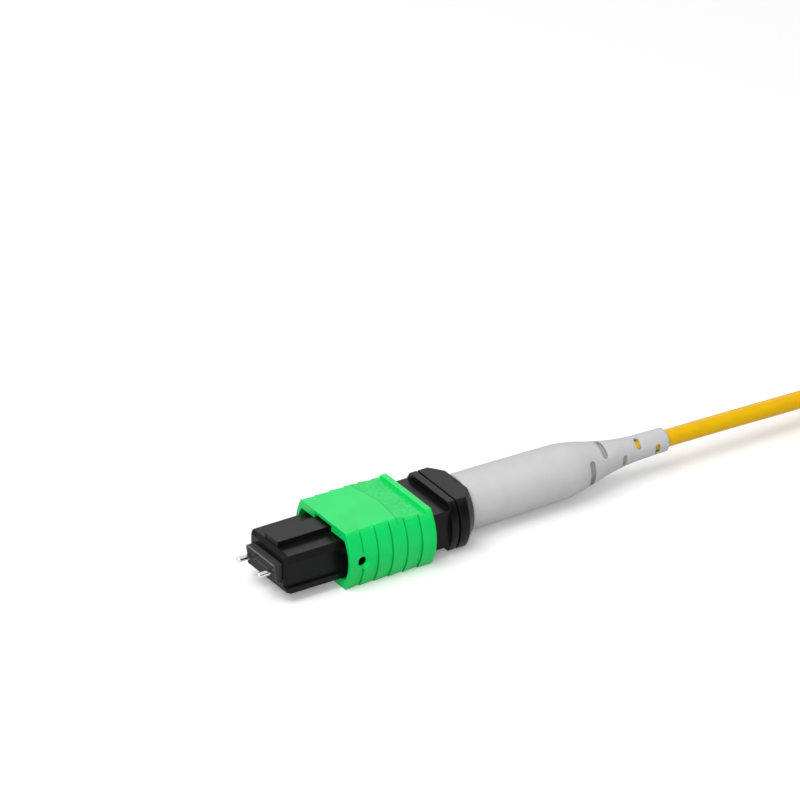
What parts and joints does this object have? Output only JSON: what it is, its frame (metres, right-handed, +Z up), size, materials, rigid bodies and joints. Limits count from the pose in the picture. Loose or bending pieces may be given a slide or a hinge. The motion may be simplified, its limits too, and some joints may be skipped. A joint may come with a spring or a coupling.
{
  "type": "mpo fibre connector",
  "caption": "Push-pull multi-fibre plug with guide pins, sprung ferrule, sliding sleeve, slotted bend relief and a cable tail folded into a tied hank.",
  "frame": {"origin": "on the surface under the middle of the plug's length, where the sleeve's flat underside rests", "axes": "+X from the ferrule's face toward the cable, +Z up through the key, +Y completes the set"},
  "size_m": [0.1487, 0.0226, 0.0096],
  "materials": {
    "ferrule_black": "fine moulded, slightly satin",
    "cured_epoxy": "smooth, cured",
    "fibre_glass": "polished",
    "pin_steel": "polished",
    "clamp_steel": "machined",
    "spring_steel": "drawn wire",
    "guide_rubber": "matte",
    "ribbon_coating": "clear matrix over coloured fibres",
    "housing_black": "moulded, satin",
    "sleeve_green": "moulded, satin",
    "aramid_yellow": "spun yarn",
    "crimp_metal": "plain",
    "boot_grey": "moulded, matte",
    "cable_yellow": "extruded, satin",
    "tie_black": "woven strap"
  },
  "bodies": {
    "plug": {"inner_housing": "housing_black", "spring_push": "housing_black", "boot_collar": "housing_black", "aramid_yarn": "aramid_yellow", "crimp_ring": "crimp_metal", "strain_relief_boot": "boot_grey", "cable_in_boot": "cable_yellow", "cable_lead": "cable_yellow", "cable_hank": "cable_yellow", "hank_tie": "tie_black", "fibre_ribbon": "ribbon_coating", "ferrule_spring": "spring_steel", "coupling_spring_left": "spring_steel", "coupling_spring_right": "spring_steel"},
    "ferrule": {"mt_ferrule": "ferrule_black", "ferrule_epoxy": "cured_epoxy", "optical_fibres": "fibre_glass", "guide_pin_left": "pin_steel", "guide_pin_right": "pin_steel", "pin_clamp": "clamp_steel", "ferrule_boot": "guide_rubber"},
    "sleeve": {"coupling_sleeve": "sleeve_green"}
  },
  "joints": [
    {"name": "sleeve_slide", "type": "slide", "parent": "plug", "child": "sleeve", "axis": [1, 0, 0], "range_m": [0, 0.0024], "stiffness_N_per_m": 1500, "deforming": ["coupling_spring_left", "coupling_spring_right"]},
    {"name": "ferrule_slide", "type": "slide", "parent": "plug", "child": "ferrule", "axis": [1, 0, 0], "range_m": [0, 0.001], "stiffness_N_per_m": 4000, "deforming": ["ferrule_spring", "fibre_ribbon"]}
  ]
}
